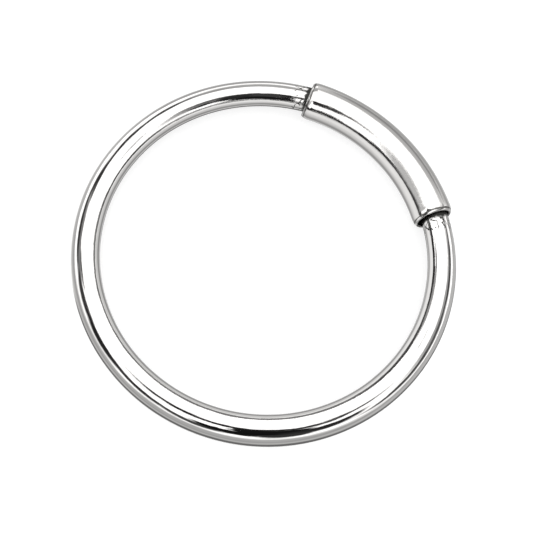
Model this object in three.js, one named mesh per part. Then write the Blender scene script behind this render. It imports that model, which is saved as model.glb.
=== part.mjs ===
// A round-wire key ring whose split is closed by a curved sleeve.
//
// The ring is a C of hard round wire. A short tube, bent to nearly the same curve, covers
// the split and slides along the wire to open it. The wire springs outwards against the
// sleeve's bore, and that drag alone keeps the sleeve where it is put.
//
// Millimetres and degrees. The ring lies flat: its axis is +Z, and its centre is the origin.

import * as THREE from "three";

// The ring's wire.
const ringOutsideDiameter = 35;
const wireDiameter = 2.5;
const splitWidth = 4; // open space between the wire's two ends
const wireEndRound = 0.6; // radius of the tumbled edge at each end of the wire

// The sleeve.
const sleeveLength = 18.3; // along its own curve, lip to lip
const sleeveWall = 0.375;
const boreClearance = 0.25; // radial, when the wire runs through the middle of the bore
const lipDepth = 0.28; // how far the lip's outer edge is turned in; the rest rounds inwards
const lipLength = 0.75; // length over which the outer edge turns in
const sleeveFlatness = 0.35; // how much larger than the wire's bend radius the sleeve's is
const straightEnd = 1.2; // length at each end that the bending press leaves straight
const lipLean = 5; // how far the lips lean back from square, leaving the underside longer

// Where the sleeve sits.
const sleeveAngle = 41.3; // its middle, and the split under it, from +X towards +Y
const bearingFilm = 0.05; // clearance left on the side where the wire bears on the bore
const bearingAngle = 12; // that side, from straight outwards towards straight down
const sleeveRock = -0.45; // turn about its own middle, inside its clearance

// Fineness of the faceted surfaces.
const wireSides = 24;
const sleeveSides = 24;
const bendStep = 3.6; // longest step along a curve
const roundSteps = 3; // facets across a rounded edge

const radians = THREE.MathUtils.degToRad;
const ringRadius = (ringOutsideDiameter - wireDiameter) / 2;
const wireRadius = wireDiameter / 2;
const boreRadius = wireRadius + boreClearance;
const sleeveRadius = boreRadius + sleeveWall;
const sleeveBend = ringRadius + sleeveFlatness;
const sleeveOffset = boreClearance - bearingFilm;
const sleeveInset = sleeveOffset * Math.cos(radians(bearingAngle));
const sleeveRise = sleeveOffset * Math.sin(radians(bearingAngle));

const polishedWire = new THREE.MeshStandardMaterial({
  color: 0xd3d1ce,
  roughness: 0.06,
  metalness: 1,
});
const polishedTube = new THREE.MeshStandardMaterial({
  color: 0xd0cdc9,
  roughness: 0.08,
  metalness: 1,
});

// Profile points (radius, height) of an oval arc about a centre, between two angles.
function arcProfile(centreX, centreY, depth, length, fromAngle, toAngle) {
  const points = [];
  for (let i = 0; i <= roundSteps; i++) {
    const angle = radians(fromAngle + ((toAngle - fromAngle) * i) / roundSteps);
    const x = centreX + depth * Math.cos(angle);
    const y = centreY + length * Math.sin(angle);
    points.push(new THREE.Vector2(x, y));
  }
  return points;
}

// Profile points strictly between two heights at one radius, close enough for the bend.
function rows(radius, fromY, toY, bendRadius) {
  const longest = radians(bendStep) * bendRadius;
  const count = Math.ceil(Math.abs(toY - fromY) / longest);
  const points = [];
  for (let i = 1; i < count; i++) {
    points.push(new THREE.Vector2(radius, fromY + ((toY - fromY) * i) / count));
  }
  return points;
}

// Wraps a straight piece, which lies along Y, round the Z axis. Its middle lands on +X at
// bendRadius. What lies beyond bentHalf either way from the middle stays straight.
function bendRound(geometry, bendRadius, bentHalf) {
  const position = geometry.getAttribute("position");
  for (let i = 0; i < position.count; i++) {
    const along = position.getY(i);
    const bent = THREE.MathUtils.clamp(along, -bentHalf, bentHalf);
    const angle = bent / bendRadius;
    const outwards = bendRadius + position.getX(i);
    const onwards = along - bent;
    const x = outwards * Math.cos(angle) - onwards * Math.sin(angle);
    const y = outwards * Math.sin(angle) + onwards * Math.cos(angle);
    position.setXY(i, x, y);
  }
  geometry.computeVertexNormals();
}

// Leans both ends of a straight piece back, so that its underside is the longer.
function leanEnds(geometry, length, lean) {
  const share = Math.tan(radians(lean)) / (length / 2);
  const position = geometry.getAttribute("position");
  for (let i = 0; i < position.count; i++) {
    position.setY(i, position.getY(i) * (1 - share * position.getZ(i)));
  }
}

// The wire: a straight length with rounded ends, bent into a C that opens towards +X.
function makeWire() {
  const splitAngle = 2 * Math.asin(splitWidth / 2 / ringRadius);
  const half = (Math.PI - splitAngle / 2) * ringRadius;
  const shoulder = half - wireEndRound;
  const neck = wireRadius - wireEndRound;
  const profile = [
    new THREE.Vector2(0, -half),
    ...arcProfile(neck, -shoulder, wireEndRound, wireEndRound, -90, 0),
    ...rows(wireRadius, -shoulder, shoulder, ringRadius),
    ...arcProfile(neck, shoulder, wireEndRound, wireEndRound, 0, 90),
    new THREE.Vector2(0, half),
  ];
  const geometry = new THREE.LatheGeometry(profile, wireSides);
  bendRound(geometry, ringRadius, half);
  const mesh = new THREE.Mesh(geometry, polishedWire);
  mesh.name = "ring_wire";
  mesh.rotation.z = Math.PI;
  return mesh;
}

// The sleeve: a tube with rounded lips, bent to run along the wire, its middle on +X.
function makeSleeve() {
  const tip = sleeveLength / 2;
  const innerRound = sleeveWall - lipDepth;
  const lipRadius = boreRadius + innerRound;
  const outer = tip - lipLength;
  const inner = tip - innerRound;
  const profile = [
    ...arcProfile(lipRadius, -inner, innerRound, innerRound, -180, -90),
    ...arcProfile(lipRadius, -outer, lipDepth, lipLength, -90, 0).slice(1),
    ...rows(sleeveRadius, -outer, outer, sleeveBend),
    ...arcProfile(lipRadius, outer, lipDepth, lipLength, 0, 90),
    ...arcProfile(lipRadius, inner, innerRound, innerRound, 90, 180).slice(1),
    ...rows(boreRadius, inner, -inner, sleeveBend),
  ];
  profile.push(profile[0].clone());
  const geometry = new THREE.LatheGeometry(profile, sleeveSides);
  leanEnds(geometry, sleeveLength, lipLean);
  bendRound(geometry, sleeveBend, tip - straightEnd);
  const mesh = new THREE.Mesh(geometry, polishedTube);
  mesh.name = "sleeve";
  mesh.position.x = -sleeveBend;
  return mesh;
}

// The sleeve's middle, which it rocks about, set inwards and up from the wire's centreline.
const sleeveSeat = new THREE.Group();
sleeveSeat.position.set(ringRadius - sleeveInset, 0, sleeveRise);
sleeveSeat.rotation.z = radians(sleeveRock);
sleeveSeat.add(makeSleeve());

const keyRing = new THREE.Group();
keyRing.rotation.z = radians(sleeveAngle);
keyRing.add(makeWire(), sleeveSeat);

export default keyRing;
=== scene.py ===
import math

import bmesh
import bpy
from mathutils import Matrix, Vector, noise


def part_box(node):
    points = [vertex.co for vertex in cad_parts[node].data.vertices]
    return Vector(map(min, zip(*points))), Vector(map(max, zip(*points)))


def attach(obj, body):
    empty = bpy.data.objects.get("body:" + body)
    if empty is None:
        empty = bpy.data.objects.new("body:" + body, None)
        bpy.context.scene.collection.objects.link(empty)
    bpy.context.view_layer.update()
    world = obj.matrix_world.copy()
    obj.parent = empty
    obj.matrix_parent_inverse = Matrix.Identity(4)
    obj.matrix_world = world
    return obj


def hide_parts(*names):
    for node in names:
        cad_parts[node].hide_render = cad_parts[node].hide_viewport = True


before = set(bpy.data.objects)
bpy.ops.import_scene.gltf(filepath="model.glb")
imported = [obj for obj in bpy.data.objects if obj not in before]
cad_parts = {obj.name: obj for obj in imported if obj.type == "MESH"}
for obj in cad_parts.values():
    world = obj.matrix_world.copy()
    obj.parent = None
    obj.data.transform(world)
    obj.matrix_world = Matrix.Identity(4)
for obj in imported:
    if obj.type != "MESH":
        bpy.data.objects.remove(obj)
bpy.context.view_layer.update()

MM = 0.001
MICROMETRE = 1e-6

# ------------------------------------------------------------------ The camera
# It looks down on the ring from close by, over its near edge, so that the near wire looks
# a little thicker than the far wire. It is tilted a touch to one side.
camera_place = Vector((-3.69, -17.52, 47.21)) * MM
camera_pitch = math.radians(20.69)
camera_lean = math.radians(-3.89)
camera_roll = math.radians(-1.47)

camera_data = bpy.data.cameras.new("overhead_camera")
camera_data.sensor_width = 36.0
camera_data.lens = 37.24
camera_data.shift_x = -0.0005
camera_data.shift_y = -0.049
camera_data.clip_start = 1 * MM
camera_data.clip_end = 10.0
camera = bpy.data.objects.new("overhead_camera", camera_data)
camera.location = camera_place
camera.rotation_euler = (camera_pitch, camera_lean, camera_roll)
bpy.context.scene.collection.objects.link(camera)
bpy.context.scene.camera = camera

# ------------------------------------------------------------------ The ring's wire
# One length of hard round wire, wound to a circle that stays open at a split and buffed to
# a mirror. Both ends are tumbled round. Winding and buffing leave it very slightly wavy.
wire_low, wire_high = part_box("ring_wire")
wire_radius = (wire_high.z - wire_low.z) / 2
ring_radius = (wire_high.y - wire_low.y) / 2 - wire_radius
split_width = 4 * MM
split_middle = math.radians(41.3)
wire_end_round = 0.6 * MM
wire_tip_share = 0.6  # a ring of points stands this far out on each flat end
wire_wave = 0.003 * MM
wire_wave_length = 5 * MM
wire_sides = 72
wire_step = 0.2 * MM
round_steps = 12


def corner(centre_along, centre_radius, length, depth, start, end):
    """Points (along, radius) round an edge, between two angles in degrees.

    The edge is rounded over a length along the piece and a depth into it."""
    points = []
    for i in range(round_steps + 1):
        angle = math.radians(start + (end - start) * i / round_steps)
        along = centre_along + length * math.sin(angle)
        radius = centre_radius + depth * math.cos(angle)
        points.append((along, radius))
    return points


def straight(start, end, radius, step):
    """Points (along, radius) strictly between two stations, at one radius."""
    count = math.ceil(abs(end - start) / step)
    return [(start + (end - start) * i / count, radius) for i in range(1, count)]


def wind(along, outward, height, bend_radius, bent_half):
    """Where a point of a straight piece lands once the piece is wound round the Z axis.

    The piece's middle lands on +X, and what lies beyond bent_half stays straight."""
    bent = max(-bent_half, min(bent_half, along))
    turn = bent / bend_radius
    reach = bend_radius + outward
    beyond = along - bent
    x = reach * math.cos(turn) - beyond * math.sin(turn)
    y = reach * math.sin(turn) + beyond * math.cos(turn)
    return Vector((x, y, height))


def ripple(along, angle, depth, length):
    """Slow unevenness of a drawn and wound surface, up to depth in or out."""
    round_scale = 0.7
    out = round_scale * math.cos(angle)
    up = round_scale * math.sin(angle)
    return depth * noise.noise(Vector((along / length, out, up)))


def turned_piece(name, profile, sides, closed, place):
    """A mesh with one ring of points for each (along, radius) of the profile.

    The attribute "lay" holds each point's place on the straightened piece, in millimetres:
    along it, outwards and up."""
    made = bmesh.new()
    lay = made.verts.layers.float_vector.new("lay")
    rings = []
    for along, radius in profile:
        ring = []
        for i in range(sides if radius > 0 else 1):
            angle = 2 * math.pi * i / sides
            vert = made.verts.new(place(along, angle, radius))
            outward = radius * math.cos(angle)
            height = radius * math.sin(angle)
            vert[lay] = Vector((along, outward, height)) / MM
            ring.append(vert)
        rings.append(ring)
    following = rings[1:] + rings[:1] if closed else rings[1:]
    for near, far in zip(rings, following):
        for i in range(sides):
            j = (i + 1) % sides
            corners = [near[i % len(near)], near[j % len(near)]]
            corners += [far[j % len(far)], far[i % len(far)]]
            made.faces.new(list(dict.fromkeys(corners)))
    bmesh.ops.recalc_face_normals(made, faces=made.faces)
    for face in made.faces:
        face.smooth = True
    mesh = bpy.data.meshes.new(name)
    made.to_mesh(mesh)
    made.free()
    piece = bpy.data.objects.new(name, mesh)
    bpy.context.scene.collection.objects.link(piece)
    return piece


split_angle = 2 * math.asin(split_width / 2 / ring_radius)
wire_half = (math.pi - split_angle / 2) * ring_radius
wire_shoulder = wire_half - wire_end_round
wire_neck = wire_radius - wire_end_round
wire_turn = Matrix.Rotation(split_middle + math.pi, 3, "Z")


def wire_place(along, angle, radius):
    """Where a point of the straight wire lands, its waviness added, in the wound ring."""
    radius += ripple(along, angle, wire_wave, wire_wave_length) * (radius / wire_radius)
    outward = radius * math.cos(angle)
    height = radius * math.sin(angle)
    return wire_turn @ wind(along, outward, height, ring_radius, wire_half)


wire_tip = wire_neck * wire_tip_share
wire_profile = [(-wire_half, 0), (-wire_half, wire_tip)]
wire_profile += corner(-wire_shoulder, wire_neck, wire_end_round, wire_end_round, -90, 0)
wire_profile += straight(-wire_shoulder, wire_shoulder, wire_radius, wire_step)
wire_profile += corner(wire_shoulder, wire_neck, wire_end_round, wire_end_round, 0, 90)
wire_profile += [(wire_half, wire_tip), (wire_half, 0)]
ring = turned_piece("key_ring_wire", wire_profile, wire_sides, False, wire_place)


def add_node(tree, kind, place, **settings):
    """A shader node at a place in its tree, with its settings and unlinked inputs.

    A setting's name is a property of the node or, with spaces for _, one of its inputs."""
    node = tree.nodes.new(kind)
    node.location = place
    for key, value in settings.items():
        if key in node.bl_rna.properties:
            setattr(node, key, value)
        else:
            node.inputs[key.replace("_", " ")].default_value = value
    return node


def new_group(name, inputs, outputs):
    """An empty shader node group with named sockets: name, kind and starting value."""
    tree = bpy.data.node_groups.new(name, "ShaderNodeTree")
    for title, kind, start in inputs:
        socket = tree.interface.new_socket(title, in_out="INPUT", socket_type=kind)
        if start is not None:
            socket.default_value = start
    for title, kind in outputs:
        tree.interface.new_socket(title, in_out="OUTPUT", socket_type=kind)
    return tree, tree.nodes.new("NodeGroupInput"), tree.nodes.new("NodeGroupOutput")


# What the buffing wheel and handling leave on both pieces: hairlines one way, a fine pebble
# under them, and a cloudy film that is duller where it is thick. Depths are in micrometres.
FLOAT = "NodeSocketFloat"
VECTOR = "NodeSocketVector"
hairline_stretch = (0.25, 4.0, 4.0)
film_thin = 0.35
film_thick = 0.7
buffed, group_in, group_out = new_group(
    "buffed metal",
    [
        ("Lay", VECTOR, None),
        ("Hairline Depth", FLOAT, 0.1),
        ("Pebble Depth", FLOAT, 0.1),
        ("Roughness Low", FLOAT, 0.04),
        ("Roughness High", FLOAT, 0.1),
    ],
    [("Height", FLOAT), ("Roughness", FLOAT), ("Film", FLOAT)],
)
stretch = add_node(buffed, "ShaderNodeVectorMath", (-600, 200), operation="MULTIPLY")
stretch.inputs[1].default_value = hairline_stretch
hairline = add_node(buffed, "ShaderNodeTexNoise", (-400, 200), Scale=1.0, Detail=3.0)
pebble = add_node(buffed, "ShaderNodeTexNoise", (-400, -50), Scale=2.6, Detail=2.0)
cloud = add_node(buffed, "ShaderNodeTexNoise", (-400, -300), Scale=0.45, Detail=4.0)
hairline_height = add_node(buffed, "ShaderNodeMath", (-150, 200), operation="MULTIPLY")
height = add_node(buffed, "ShaderNodeMath", (50, 100), operation="MULTIPLY_ADD")
roughness = add_node(buffed, "ShaderNodeMapRange", (50, -150))
roughness.inputs["From Min"].default_value = film_thin
roughness.inputs["From Max"].default_value = film_thick
buffed.links.new(group_in.outputs["Lay"], stretch.inputs[0])
buffed.links.new(stretch.outputs[0], hairline.inputs["Vector"])
buffed.links.new(group_in.outputs["Lay"], pebble.inputs["Vector"])
buffed.links.new(group_in.outputs["Lay"], cloud.inputs["Vector"])
buffed.links.new(hairline.outputs["Fac"], hairline_height.inputs[0])
buffed.links.new(group_in.outputs["Hairline Depth"], hairline_height.inputs[1])
buffed.links.new(pebble.outputs["Fac"], height.inputs[0])
buffed.links.new(group_in.outputs["Pebble Depth"], height.inputs[1])
buffed.links.new(hairline_height.outputs[0], height.inputs[2])
buffed.links.new(cloud.outputs["Fac"], roughness.inputs["Value"])
buffed.links.new(group_in.outputs["Roughness Low"], roughness.inputs["To Min"])
buffed.links.new(group_in.outputs["Roughness High"], roughness.inputs["To Max"])
buffed.links.new(height.outputs[0], group_out.inputs["Height"])
buffed.links.new(roughness.outputs[0], group_out.inputs["Roughness"])
buffed.links.new(cloud.outputs["Fac"], group_out.inputs["Film"])


def metal_material(
    name, bright, filmed, hairline_depth, pebble_depth, rough_low, rough_high
):
    """Buffed metal with a faint film, its finish laid out by the lay attribute."""
    material = bpy.data.materials.new(name)
    material.use_nodes = True
    tree = material.node_tree
    surface = tree.nodes["Principled BSDF"]
    surface.inputs["Metallic"].default_value = 1.0
    lay = add_node(tree, "ShaderNodeAttribute", (-900, 0), attribute_name="lay")
    finish = add_node(tree, "ShaderNodeGroup", (-650, 0))
    finish.node_tree = buffed
    finish.inputs["Hairline Depth"].default_value = hairline_depth
    finish.inputs["Pebble Depth"].default_value = pebble_depth
    finish.inputs["Roughness Low"].default_value = rough_low
    finish.inputs["Roughness High"].default_value = rough_high
    colour = add_node(tree, "ShaderNodeMix", (-350, 150), data_type="RGBA")
    colour.inputs["A"].default_value = (*bright, 1)
    colour.inputs["B"].default_value = (*filmed, 1)
    bump = add_node(tree, "ShaderNodeBump", (-350, -200), Distance=MICROMETRE, Strength=1.0)
    tree.links.new(lay.outputs["Vector"], finish.inputs["Lay"])
    tree.links.new(finish.outputs["Film"], colour.inputs["Factor"])
    tree.links.new(colour.outputs["Result"], surface.inputs["Base Color"])
    tree.links.new(finish.outputs["Roughness"], surface.inputs["Roughness"])
    tree.links.new(finish.outputs["Height"], bump.inputs["Height"])
    tree.links.new(bump.outputs["Normal"], surface.inputs["Normal"])
    return material


# A ragged dark band at one station, on both sides of the middle, and the fine curling
# scratches of dirt dragged along beside it. The band is painted shade where it is laid on
# the wire and a painted reflection where it is laid on the sleeve. It fades out between two
# shares of its half width. A scratch runs where its noise is near the middle of its range.
band_core = 0.7
band_edge = 1.3
noise_middle = 0.5
scratch_core = 0.018
scratch_edge = 0.036
band_roughness = 0.45
band, band_in, band_out = new_group(
    "painted dark band",
    [
        ("Lay", VECTOR, None),
        ("Station", FLOAT, 10.0),
        ("Half Width", FLOAT, 0.2),
        ("Raggedness", FLOAT, 0.5),
        ("Scratch Reach", FLOAT, 0.0),
    ],
    [("Mask", FLOAT)],
)
spot_parts = add_node(band, "ShaderNodeSeparateXYZ", (-800, 0))
side = add_node(band, "ShaderNodeMath", (-650, 0), operation="ABSOLUTE")
gap = add_node(band, "ShaderNodeMath", (-500, 0), operation="SUBTRACT")
far_off = add_node(band, "ShaderNodeMath", (-350, 0), operation="ABSOLUTE")
rags = add_node(band, "ShaderNodeTexNoise", (-650, -250), Scale=2.2, Detail=3.0)
pull = add_node(band, "ShaderNodeMath", (-350, -250), operation="SUBTRACT")
pull.inputs[1].default_value = noise_middle
ragged = add_node(band, "ShaderNodeMath", (-200, 0), operation="MULTIPLY_ADD")
band_fade = add_node(band, "ShaderNodeMapRange", (0, 0))
band_fade.inputs["From Min"].default_value = band_core
band_fade.inputs["From Max"].default_value = band_edge
band_fade.inputs["To Min"].default_value = 1.0
band_fade.inputs["To Max"].default_value = 0.0
widths = add_node(band, "ShaderNodeMath", (-100, 150), operation="DIVIDE")
curls = add_node(band, "ShaderNodeTexNoise", (-650, -500), Scale=1.5, Detail=1.5)
curl_off = add_node(band, "ShaderNodeMath", (-450, -500), operation="SUBTRACT")
curl_off.inputs[1].default_value = noise_middle
curl_far = add_node(band, "ShaderNodeMath", (-300, -500), operation="ABSOLUTE")
curl = add_node(band, "ShaderNodeMapRange", (-150, -500))
curl.inputs["From Min"].default_value = scratch_core
curl.inputs["From Max"].default_value = scratch_edge
curl.inputs["To Min"].default_value = 1.0
curl.inputs["To Max"].default_value = 0.0
near = add_node(band, "ShaderNodeMath", (-150, -700), operation="LESS_THAN")
curl_near = add_node(band, "ShaderNodeMath", (50, -500), operation="MULTIPLY")
both = add_node(band, "ShaderNodeMath", (250, 0), operation="MAXIMUM")
band.links.new(band_in.outputs["Lay"], spot_parts.inputs[0])
band.links.new(spot_parts.outputs["X"], side.inputs[0])
band.links.new(band_in.outputs["Station"], gap.inputs[0])
band.links.new(side.outputs[0], gap.inputs[1])
band.links.new(gap.outputs[0], far_off.inputs[0])
band.links.new(band_in.outputs["Lay"], rags.inputs["Vector"])
band.links.new(rags.outputs["Fac"], pull.inputs[0])
band.links.new(pull.outputs[0], ragged.inputs[0])
band.links.new(band_in.outputs["Raggedness"], ragged.inputs[1])
band.links.new(far_off.outputs[0], ragged.inputs[2])
band.links.new(ragged.outputs[0], widths.inputs[0])
band.links.new(band_in.outputs["Half Width"], widths.inputs[1])
band.links.new(widths.outputs[0], band_fade.inputs["Value"])
band.links.new(band_in.outputs["Lay"], curls.inputs["Vector"])
band.links.new(curls.outputs["Fac"], curl_off.inputs[0])
band.links.new(curl_off.outputs[0], curl_far.inputs[0])
band.links.new(curl_far.outputs[0], curl.inputs["Value"])
band.links.new(far_off.outputs[0], near.inputs[0])
band.links.new(band_in.outputs["Scratch Reach"], near.inputs[1])
band.links.new(curl.outputs[0], curl_near.inputs[0])
band.links.new(near.outputs[0], curl_near.inputs[1])
band.links.new(band_fade.outputs[0], both.inputs[0])
band.links.new(curl_near.outputs[0], both.inputs[1])
band.links.new(both.outputs[0], band_out.inputs["Mask"])


def lay_painted_band(material, station, half_width, raggedness, scratch_reach, dark_colour):
    """Lays a painted dark band over a metal: it darkens and dulls it where the band's mask
    is.
    """
    tree = material.node_tree
    surface = tree.nodes["Principled BSDF"]
    clean = surface.inputs["Base Color"].links[0].from_socket
    shine = surface.inputs["Roughness"].links[0].from_socket
    lay = add_node(tree, "ShaderNodeAttribute", (-900, 500), attribute_name="lay")
    dark_band = add_node(tree, "ShaderNodeGroup", (-650, 500))
    dark_band.node_tree = band
    dark_band.inputs["Station"].default_value = station
    dark_band.inputs["Half Width"].default_value = half_width
    dark_band.inputs["Raggedness"].default_value = raggedness
    dark_band.inputs["Scratch Reach"].default_value = scratch_reach
    darkened = add_node(tree, "ShaderNodeMix", (-150, 300), data_type="RGBA")
    darkened.inputs["B"].default_value = (*dark_colour, 1)
    dulled = add_node(tree, "ShaderNodeMix", (-150, 0), data_type="FLOAT")
    dulled.inputs["B"].default_value = band_roughness
    tree.links.new(lay.outputs["Vector"], dark_band.inputs["Lay"])
    tree.links.new(dark_band.outputs["Mask"], darkened.inputs["Factor"])
    tree.links.new(dark_band.outputs["Mask"], dulled.inputs["Factor"])
    tree.links.new(clean, darkened.inputs["A"])
    tree.links.new(shine, dulled.inputs["A"])
    tree.links.new(darkened.outputs["Result"], surface.inputs["Base Color"])
    tree.links.new(dulled.outputs["Result"], surface.inputs["Roughness"])


wire_metal = metal_material(
    "polished_wire",
    bright=(0.635, 0.627, 0.62),
    filmed=(0.585, 0.575, 0.565),
    hairline_depth=7,
    pebble_depth=3,
    rough_low=0.03,
    rough_high=0.08,
)
# The sleeve's mouths stand 42 mm from the wire's middle, measured along it.
# The band here is painted shade where the wire goes into each mouth, with real sliding
# scratches beside it.
lay_painted_band(
    wire_metal,
    station=41.85,
    half_width=0.32,
    raggedness=0.8,
    scratch_reach=1.5,
    dark_colour=(0.035, 0.035, 0.033),
)
ring.data.materials.append(wire_metal)
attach(ring, "ring")
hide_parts("ring_wire")

# ------------------------------------------------------------------ The sliding sleeve
# A short thin-walled tube of the same metal, pressed to nearly the ring's curve with short
# straight ends. Its lips are rolled round, and it slides along the wire to open the split.
sleeve_low, sleeve_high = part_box("sleeve")
sleeve_radius = (sleeve_high.z - sleeve_low.z) / 2
sleeve_rise = (sleeve_high.z + sleeve_low.z) / 2
sleeve_length = 18.3 * MM
sleeve_wall = 0.375 * MM
lip_depth = 0.28 * MM
lip_length = 0.75 * MM
sleeve_flatness = 0.35 * MM
straight_end = 1.2 * MM
lip_lean = math.radians(5)
sleeve_rock = math.radians(-0.45)
sleeve_inset = 0.196 * MM
sleeve_wave = 0.005 * MM
sleeve_wave_length = 3.5 * MM
sleeve_sides = 96
sleeve_step = 0.15 * MM

sleeve_bend = ring_radius + sleeve_flatness
sleeve_tip = sleeve_length / 2
bore_radius = sleeve_radius - sleeve_wall
inner_round = sleeve_wall - lip_depth
lip_radius = bore_radius + inner_round
lean_share = math.tan(lip_lean) / sleeve_tip
sleeve_seat = (
    Matrix.Rotation(split_middle, 4, "Z")
    @ Matrix.Translation((ring_radius - sleeve_inset, 0, sleeve_rise))
    @ Matrix.Rotation(sleeve_rock, 4, "Z")
    @ Matrix.Translation((-sleeve_bend, 0, 0))
)


def sleeve_place(along, angle, radius):
    """Where a point of the straight sleeve lands, its lips leaned and its outside wavy."""
    if radius > lip_radius:
        radius += ripple(along, angle, sleeve_wave, sleeve_wave_length)
    outward = radius * math.cos(angle)
    height = radius * math.sin(angle)
    leaned = along * (1 - lean_share * height)
    bent_half = sleeve_tip - straight_end
    return sleeve_seat @ wind(leaned, outward, height, sleeve_bend, bent_half)


outer_end = sleeve_tip - lip_length
inner_end = sleeve_tip - inner_round
sleeve_profile = corner(-inner_end, lip_radius, inner_round, inner_round, -180, -90)
sleeve_profile += corner(-outer_end, lip_radius, lip_length, lip_depth, -90, 0)[1:]
sleeve_profile += straight(-outer_end, outer_end, sleeve_radius, sleeve_step)
sleeve_profile += corner(outer_end, lip_radius, lip_length, lip_depth, 0, 90)
sleeve_profile += corner(inner_end, lip_radius, inner_round, inner_round, 90, 180)[1:]
sleeve_profile += straight(inner_end, -inner_end, bore_radius, sleeve_step)
sleeve = turned_piece("sliding_sleeve", sleeve_profile, sleeve_sides, True, sleeve_place)

sleeve_metal = metal_material(
    "polished_tube",
    bright=(0.62, 0.61, 0.60),
    filmed=(0.55, 0.54, 0.53),
    hairline_depth=8,
    pebble_depth=5,
    rough_low=0.05,
    rough_high=0.12,
)
# A thin dark line, a painted reflection, runs round each lip, a little in from its edge.
lay_painted_band(
    sleeve_metal,
    station=8.93,
    half_width=0.06,
    raggedness=0.2,
    scratch_reach=0.0,
    dark_colour=(0.12, 0.117, 0.113),
)
sleeve.data.materials.append(sleeve_metal)
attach(sleeve, "sleeve")
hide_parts("sleeve")

# ------------------------------------------------------------------ The studio
# What the polished metal mirrors: a white sheet level with the lens, and two clear collars
# upright round the ring. Soft ovals on them are the lens, its stand and arms, and flags.
# They are seen in reflections only, and put no light or shadow on the table.
sheet_half_side = 250 * MM
sheet_level = 2.0
collar_start = 73  # where a collar's ends meet, at the sleeve's back mouth, in degrees
collar_sides = 180
collar_foot = -1 * MM
collar_top = camera_place.z - 0.1 * MM
collar_edge_level = 0.1  # what the soft edge of a collar's first oval fades from
outer_collar_radius = 20.5 * MM
inner_collar_radius = 14 * MM


def flat_square(name, half_side):
    """A square lying flat, its middle at the origin."""
    outline = [(-half_side, -half_side, 0), (half_side, -half_side, 0)]
    outline += [(half_side, half_side, 0), (-half_side, half_side, 0)]
    mesh = bpy.data.meshes.new(name)
    mesh.from_pydata(outline, [], [(0, 1, 2, 3)])
    square = bpy.data.objects.new(name, mesh)
    bpy.context.scene.collection.objects.link(square)
    return square


def mirrored_only(card):
    """Only polished metal sees this card."""
    card.visible_camera = False
    card.visible_diffuse = False
    card.visible_shadow = False
    card.visible_transmission = False


# One soft-edged oval, laid over the level that is under it. It fades out from one soft edge
# within its outline to one soft edge beyond it.
patch, patch_in, patch_out = new_group(
    "soft patch",
    [
        ("Place", VECTOR, None),
        ("Middle", VECTOR, None),
        ("Turn", FLOAT, 0.0),
        ("Half Size", VECTOR, None),
        ("Soft Edge", FLOAT, 0.3),
        ("Level", FLOAT, 1.0),
        ("Under", FLOAT, 1.0),
        ("Under Cover", FLOAT, 0.0),
    ],
    [("Level", FLOAT), ("Cover", FLOAT)],
)
shift = add_node(patch, "ShaderNodeVectorMath", (-600, 0), operation="SUBTRACT")
turn = add_node(patch, "ShaderNodeVectorRotate", (-450, 0), rotation_type="Z_AXIS")
shrink = add_node(patch, "ShaderNodeVectorMath", (-300, 0), operation="DIVIDE")
away = add_node(patch, "ShaderNodeVectorMath", (-150, 0), operation="LENGTH")
rim = add_node(patch, "ShaderNodeMath", (-150, -150), operation="ADD")
rim.inputs[0].default_value = 1.0
inner = add_node(patch, "ShaderNodeMath", (-150, -300), operation="SUBTRACT")
inner.inputs[0].default_value = 1.0
cover = add_node(patch, "ShaderNodeMapRange", (50, 0), interpolation_type="SMOOTHSTEP")
cover.inputs["To Min"].default_value = 1.0
cover.inputs["To Max"].default_value = 0.0
blend = add_node(patch, "ShaderNodeMix", (250, 0), data_type="FLOAT")
covered = add_node(patch, "ShaderNodeMath", (250, -200), operation="MAXIMUM")
patch.links.new(patch_in.outputs["Place"], shift.inputs[0])
patch.links.new(patch_in.outputs["Middle"], shift.inputs[1])
patch.links.new(shift.outputs[0], turn.inputs["Vector"])
patch.links.new(patch_in.outputs["Turn"], turn.inputs["Angle"])
patch.links.new(turn.outputs[0], shrink.inputs[0])
patch.links.new(patch_in.outputs["Half Size"], shrink.inputs[1])
patch.links.new(shrink.outputs[0], away.inputs[0])
patch.links.new(patch_in.outputs["Soft Edge"], rim.inputs[1])
patch.links.new(patch_in.outputs["Soft Edge"], inner.inputs[1])
patch.links.new(away.outputs["Value"], cover.inputs["Value"])
patch.links.new(inner.outputs[0], cover.inputs["From Min"])
patch.links.new(rim.outputs[0], cover.inputs["From Max"])
patch.links.new(cover.outputs[0], blend.inputs["Factor"])
patch.links.new(patch_in.outputs["Under"], blend.inputs["A"])
patch.links.new(patch_in.outputs["Level"], blend.inputs["B"])
patch.links.new(blend.outputs["Result"], patch_out.inputs["Level"])
patch.links.new(cover.outputs[0], covered.inputs[0])
patch.links.new(patch_in.outputs["Under Cover"], covered.inputs[1])
patch.links.new(covered.outputs[0], patch_out.inputs["Cover"])


def object_place(tree):
    """Where a point is on its own card, in millimetres."""
    place = add_node(tree, "ShaderNodeTexCoord", (-1400, 0))
    in_mm = add_node(tree, "ShaderNodeVectorMath", (-1200, 0), operation="SCALE")
    in_mm.inputs["Scale"].default_value = 1 / MM
    tree.links.new(place.outputs["Object"], in_mm.inputs[0])
    return in_mm.outputs[0]


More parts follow.
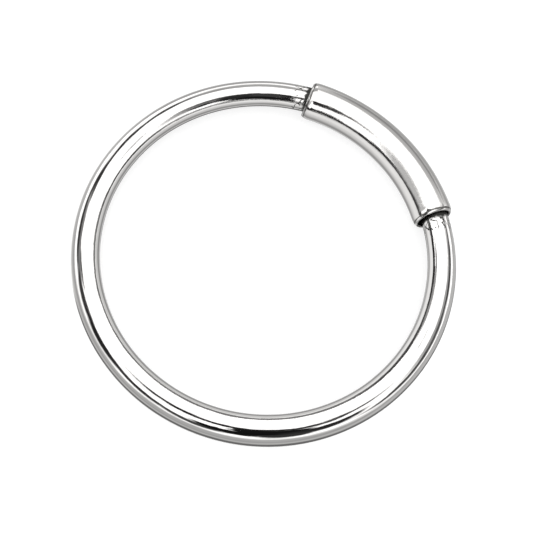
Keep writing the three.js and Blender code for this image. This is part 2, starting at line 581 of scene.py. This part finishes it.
def patchwork(tree, place, start_level, patches):
    """Soft-edged ovals of light and dark, each laid over the ones before it.

    Each is: middle x, y, half length, half width, turn (degrees), soft edge, level. Returns
    the last one's node, which puts out the level and the cover of them all."""
    under = None
    for count, (title, values) in enumerate(patches.items()):
        x, y, length, width, angle, soft, level = values
        one = add_node(tree, "ShaderNodeGroup", (-800 + 200 * count, 0), label=title)
        one.node_tree = patch
        one.inputs["Middle"].default_value = (x, y, 0)
        one.inputs["Half Size"].default_value = (length, width, 1)
        one.inputs["Turn"].default_value = math.radians(-angle)
        one.inputs["Soft Edge"].default_value = soft
        one.inputs["Level"].default_value = level
        one.inputs["Under"].default_value = start_level
        tree.links.new(place, one.inputs["Place"])
        if under:
            tree.links.new(under.outputs["Level"], one.inputs["Under"])
            tree.links.new(under.outputs["Cover"], one.inputs["Under Cover"])
        under = one
    return under


def glowing(name):
    """A material that only glows: the material, its node tree and its light."""
    material = bpy.data.materials.new(name)
    material.use_nodes = True
    material.cycles.emission_sampling = "NONE"
    tree = material.node_tree
    tree.nodes.clear()
    glow = add_node(tree, "ShaderNodeEmission", (3700, 0))
    return material, tree, glow


sheet = flat_square("studio_sheet", sheet_half_side)
sheet.location.z = camera_place.z
mirrored_only(sheet)
sheet_light, sheet_tree, sheet_glow = glowing("studio_sheet")
sheet_ovals = patchwork(
    sheet_tree,
    object_place(sheet_tree),
    sheet_level,
    {
        "lens": (-10, -14, 13, 6, -30, 0.35, 0.03),
        "lens hood": (13, -17, 13, 6, 30, 0.35, 0.06),
        "lens front": (1, -17, 10, 5, 0, 0.3, 0.03),
    },
)
sheet_out = add_node(sheet_tree, "ShaderNodeOutputMaterial", (3900, 0))
sheet_tree.links.new(sheet_ovals.outputs["Level"], sheet_glow.inputs["Strength"])
sheet_tree.links.new(sheet_glow.outputs[0], sheet_out.inputs["Surface"])
sheet.data.materials.append(sheet_light)


def clear_collar(name, radius, patches):
    """An upright clear cylinder round the ring's axis, reaching up to the studio sheet.

    It is seen from inside only, and only where its patches are. Their x is the bearing in
    degrees, from collar_start round to the same place again, and y the height in mm."""
    rows = []
    for height in (collar_foot, collar_top):
        for i in range(collar_sides):
            angle = 2 * math.pi * i / collar_sides
            rows.append((radius * math.cos(angle), radius * math.sin(angle), height))
    faces = []
    for i in range(collar_sides):
        j = (i + 1) % collar_sides
        faces.append((i, j, j + collar_sides, i + collar_sides))
    mesh = bpy.data.meshes.new(name)
    mesh.from_pydata(rows, [], faces)
    collar = bpy.data.objects.new(name, mesh)
    collar.rotation_euler.z = math.radians(collar_start + 180)
    bpy.context.scene.collection.objects.link(collar)
    mirrored_only(collar)
    material, tree, glow = glowing(name)
    parts = add_node(tree, "ShaderNodeSeparateXYZ", (-1400, -200))
    bearing = add_node(tree, "ShaderNodeMath", (-1250, 150), operation="ARCTAN2")
    in_degrees = add_node(tree, "ShaderNodeMath", (-1100, 150), operation="MULTIPLY_ADD")
    in_degrees.inputs[1].default_value = math.degrees(1)
    in_degrees.inputs[2].default_value = collar_start + 180
    unrolled = add_node(tree, "ShaderNodeCombineXYZ", (-950, 0))
    tree.links.new(object_place(tree), parts.inputs[0])
    tree.links.new(parts.outputs["Y"], bearing.inputs[0])
    tree.links.new(parts.outputs["X"], bearing.inputs[1])
    tree.links.new(bearing.outputs[0], in_degrees.inputs[0])
    tree.links.new(in_degrees.outputs[0], unrolled.inputs["X"])
    tree.links.new(parts.outputs["Z"], unrolled.inputs["Y"])
    ovals = patchwork(tree, unrolled.outputs[0], collar_edge_level, patches)
    facing = add_node(tree, "ShaderNodeNewGeometry", (3500, -300))
    seen = add_node(tree, "ShaderNodeMath", (3700, -300), operation="MULTIPLY")
    clear = add_node(tree, "ShaderNodeBsdfTransparent", (3700, -150))
    either = add_node(tree, "ShaderNodeMixShader", (3900, 0))
    output = add_node(tree, "ShaderNodeOutputMaterial", (4100, 0))
    tree.links.new(facing.outputs["Backfacing"], seen.inputs[0])
    tree.links.new(ovals.outputs["Cover"], seen.inputs[1])
    tree.links.new(ovals.outputs["Level"], glow.inputs["Strength"])
    tree.links.new(seen.outputs[0], either.inputs["Fac"])
    tree.links.new(clear.outputs[0], either.inputs[1])
    tree.links.new(glow.outputs[0], either.inputs[2])
    tree.links.new(either.outputs[0], output.inputs["Surface"])
    collar.data.materials.append(material)
    return collar


# One collar stands just outside the ring, and what faces outwards mirrors it: the black
# stand of the lens in front, dark flags to the left, grey ones to the right.
outer_collar = clear_collar(
    "outer_collar",
    outer_collar_radius,
    {
        "grey skirt behind": (92, 1.0, 36, 1.1, 0, 0.4, 0.55),
        "pale flag behind": (90, 6.2, 30, 2.6, 0, 0.35, 0.6),
        "pale flag's corner": (109, 6.2, 10, 1.7, 0, 0.4, 0.5),
        "spot": (123, 6.7, 11, 2.1, 0, 0.35, 0.09),
        "bar": (138, 7.2, 14, 2.6, 0, 0.3, 0.045),
        "bar's end": (152, 7.6, 9, 3.3, 0, 0.3, 0.045),
        "left flag": (172, 8.0, 16, 3.8, 0, 0.3, 0.33),
        "dark slot": (178, 13, 7, 2.5, 0, 0.4, 0.14),
        "left foot": (168, 4.9, 22, 1.2, 0, 0.35, 0.06),
        "left flag's thick end": (195, 6.4, 14, 2.9, 0, 0.3, 0.07),
        "left flag's low end": (210, 5.4, 13, 2.5, 0, 0.3, 0.025),
        "foot under the lamp": (228, 4.9, 17, 1.4, 0, 0.35, 0.04),
        "stand's low left": (245, 4.6, 12, 1.4, 0, 0.35, 0.09),
        "stand": (272, 32, 14, 28, 0, 0.1, 0.012),
        "stand's front": (272, 14, 15, 10.5, 0, 0.15, 0.012),
        "stand's right": (288, 7.6, 15, 3.3, 0, 0.25, 0.03),
        "stand's left": (259, 6.9, 14, 2.6, 0, 0.2, 0.01),
        "stand's foot": (275, 5.2, 10, 1.7, 0, 0.3, 0.05),
        "lens arm": (240, 41, 22, 8, 0, 0.3, 0.03),
        "right arm": (304, 40, 24, 8, 0, 0.35, 0.16),
        "right flag": (344, 6.0, 26, 2.6, 0, 0.4, 0.55),
        "right foot": (321, 3.6, 23, 1.1, 0, 0.35, 0.1),
        "right edge": (354, 4.4, 24, 1.2, 0, 0.35, 0.09),
        "side flag": (405, 4.6, 34, 2.0, 0, 0.4, 0.72),
        "side foot": (402, 3.0, 32, 0.8, 0, 0.4, 0.4),
        "side skirt": (402, 0.8, 36, 0.8, 0, 0.4, 0.58),
        "front skirt": (245, 1.5, 62, 1.1, 0, 0.6, 0.62),
    },
)
# The other stands inside the ring, and what faces inwards mirrors its far side: a low dark
# rim all round and the stand's black arm.
inner_collar = clear_collar(
    "inner_collar",
    inner_collar_radius,
    {
        "back rim": (405, 1.0, 54, 5.0, 0, 0.45, 0.27),
        "first back rim": (80, 1.0, 24, 5.0, 0, 0.45, 0.27),
        "right rim": (370, 1.4, 19, 4.0, 0, 0.35, 0.09),
        "front right rim": (352, 0, 12, 3.4, 0, 0.35, 0.1),
        "upper streak": (386, 35, 10, 4, 0, 0.5, 0.5),
        "left mottle": (168, 16, 20, 13, 0, 0.5, 0.8),
        "left haze": (113, 10.5, 12, 4.5, 0, 0.5, 0.45),
        "second left haze": (125, 13, 9, 3, 0, 0.5, 0.4),
        "back left rim": (98, 6.2, 12, 4.5, 0, 0.35, 0.07),
        "left rim": (113, 1, 15, 4.2, 0, 0.35, 0.08),
        "left knob": (127, 0.5, 11, 4.6, 0, 0.35, 0.03),
        "left post": (136, 3.0, 11, 5.0, 0, 0.3, 0.03),
        "left post's side": (142, 5, 6, 4.2, 0, 0.35, 0.035),
        "left wire's rim": (163, 2.3, 13, 2.1, 0, 0.35, 0.09),
        "front rim": (200, 1.2, 40, 2.3, 0, 0.3, 0.05),
        "front rim's end": (232, 5.0, 12, 4.6, 0, 0.3, 0.03),
        "stripe above": (229, 31, 12, 6, -20, 0.3, 0.05),
        "stripe's tail": (207, 38, 13, 3.8, -10, 0.4, 0.22),
        "second arm's haze": (336, 27, 14, 12, 0, 0.5, 0.55),
        "arm's haze": (320, 33, 18, 13, 0, 0.4, 0.2),
        "arm's foot": (271, 7, 15, 5, 0, 0.3, 0.025),
        "arm": (282, 25, 17, 19, 0, 0.15, 0.07),
        "arm's low part": (282, 11.5, 20, 5.5, 0, 0.25, 0.012),
        "arm's side": (301, 22, 13, 11, 0, 0.25, 0.03),
        "arm's top": (302, 34, 12, 8, 0, 0.3, 0.045),
        "arm's end": (317, 18, 14, 4.6, 0, 0.25, 0.03),
    },
)

# ------------------------------------------------------------------ The table top
# A plain white table. The ring lies on it as it really would, on the sleeve's underside and
# on the wire across from it, so the top leans about a degree against the ring's own plane.
far_point = Vector((-math.cos(split_middle), -math.sin(split_middle), 0)) * ring_radius
near_point = -far_point
far_point.z = wire_low.z
near_point.z = sleeve_low.z
across = Vector((-math.sin(split_middle), math.cos(split_middle), 0))
table_up = (near_point - far_point).cross(across).normalized()
table_half_side = 3.0
table = flat_square("table_top", table_half_side)
table.location = (near_point + far_point) / 2
table.rotation_euler = table_up.to_track_quat("Z", "Y").to_euler()
table_white = bpy.data.materials.new("table_white")
table_white.use_nodes = True
table_tree = table_white.node_tree
paint = table_tree.nodes["Principled BSDF"]
paint.inputs["Base Color"].default_value = (0.35, 0.35, 0.35, 1)
paint.inputs["Roughness"].default_value = 0.9
paint.inputs["Specular IOR Level"].default_value = 0.1
paint.inputs["Emission Color"].default_value = (1, 1, 1, 1)
paint.inputs["Emission Strength"].default_value = 0.75
# What the metal mirrors of it is painted light and shade: grey, as the lens above shades
# it, with a painted soft shadow of the ring to either side of the wire and painted light
# let in beneath. Measured on the table from the ring's middle, x runs towards the back left
# and y straight away from the sleeve.
shaded_level = 0.72
shaded = patchwork(
    table_tree,
    object_place(table_tree),
    shaded_level,
    {
        "outer shadow": (-0.7, 0.7, 20.0, 20.0, 0, 0.06, 0.2),
        "left light": (18.4, 4.4, 6.5, 1.9, 104, 0.35, 1.15),
        "left light's front": (13.2, 13.6, 6.0, 1.9, 136, 0.35, 1.3),
        "outer light": (0.35, 0.2, 18.2, 18.2, 0, 0.015, 1.3),
        "contact shadow at the mouth": (9.2, -15.9, 6.5, 1.4, 30, 0.3, 0.28),
        "under the wire": (0, 0, 17.7, 17.7, 0, 0.01, 0.15),
        "inner light": (0, 0, 14.8, 14.8, 0, 0.01, 0.9),
        "inner shadow": (0, 0, 14.2, 14.2, 0, 0.03, 0.42),
        "eye": (0, -0.5, 12.5, 12.5, 0, 0.07, 0.92),
        "eye's bright side": (-1.5, -4.3, 9.6, 7.2, 0, 0.25, 1.3),
    },
)
mirrored = add_node(table_tree, "ShaderNodeEmission", (200, 300))
path = add_node(table_tree, "ShaderNodeLightPath", (200, 600))
choice = add_node(table_tree, "ShaderNodeMixShader", (500, 200))
table_out = table_tree.nodes["Material Output"]
table_tree.links.new(shaded.outputs["Level"], mirrored.inputs["Strength"])
table_tree.links.new(path.outputs["Is Glossy Ray"], choice.inputs["Fac"])
table_tree.links.new(paint.outputs[0], choice.inputs[1])
table_tree.links.new(mirrored.outputs[0], choice.inputs[2])
table_tree.links.new(choice.outputs[0], table_out.inputs["Surface"])
table_white.cycles.emission_sampling = "NONE"
table.data.materials.append(table_white)

# The room is white all round. What the metal mirrors of it, past the sheet, is darker than
# the light that it throws on the table.
room_light = 1.2
room_mirrored = 0.78
world = bpy.data.worlds.new("white_room")
world.use_nodes = True
bpy.context.scene.world = world
room_tree = world.node_tree
background = room_tree.nodes["Background"]
background.inputs["Color"].default_value = (1, 1, 1, 1)
room_path = add_node(room_tree, "ShaderNodeLightPath", (-600, 0))
room_level = add_node(room_tree, "ShaderNodeMix", (-300, 0), data_type="FLOAT")
room_level.inputs["A"].default_value = room_light
room_level.inputs["B"].default_value = room_mirrored
room_tree.links.new(room_path.outputs["Is Glossy Ray"], room_level.inputs["Factor"])
room_tree.links.new(room_level.outputs["Result"], background.inputs["Strength"])
bpy.context.scene.view_settings.view_transform = "Standard"
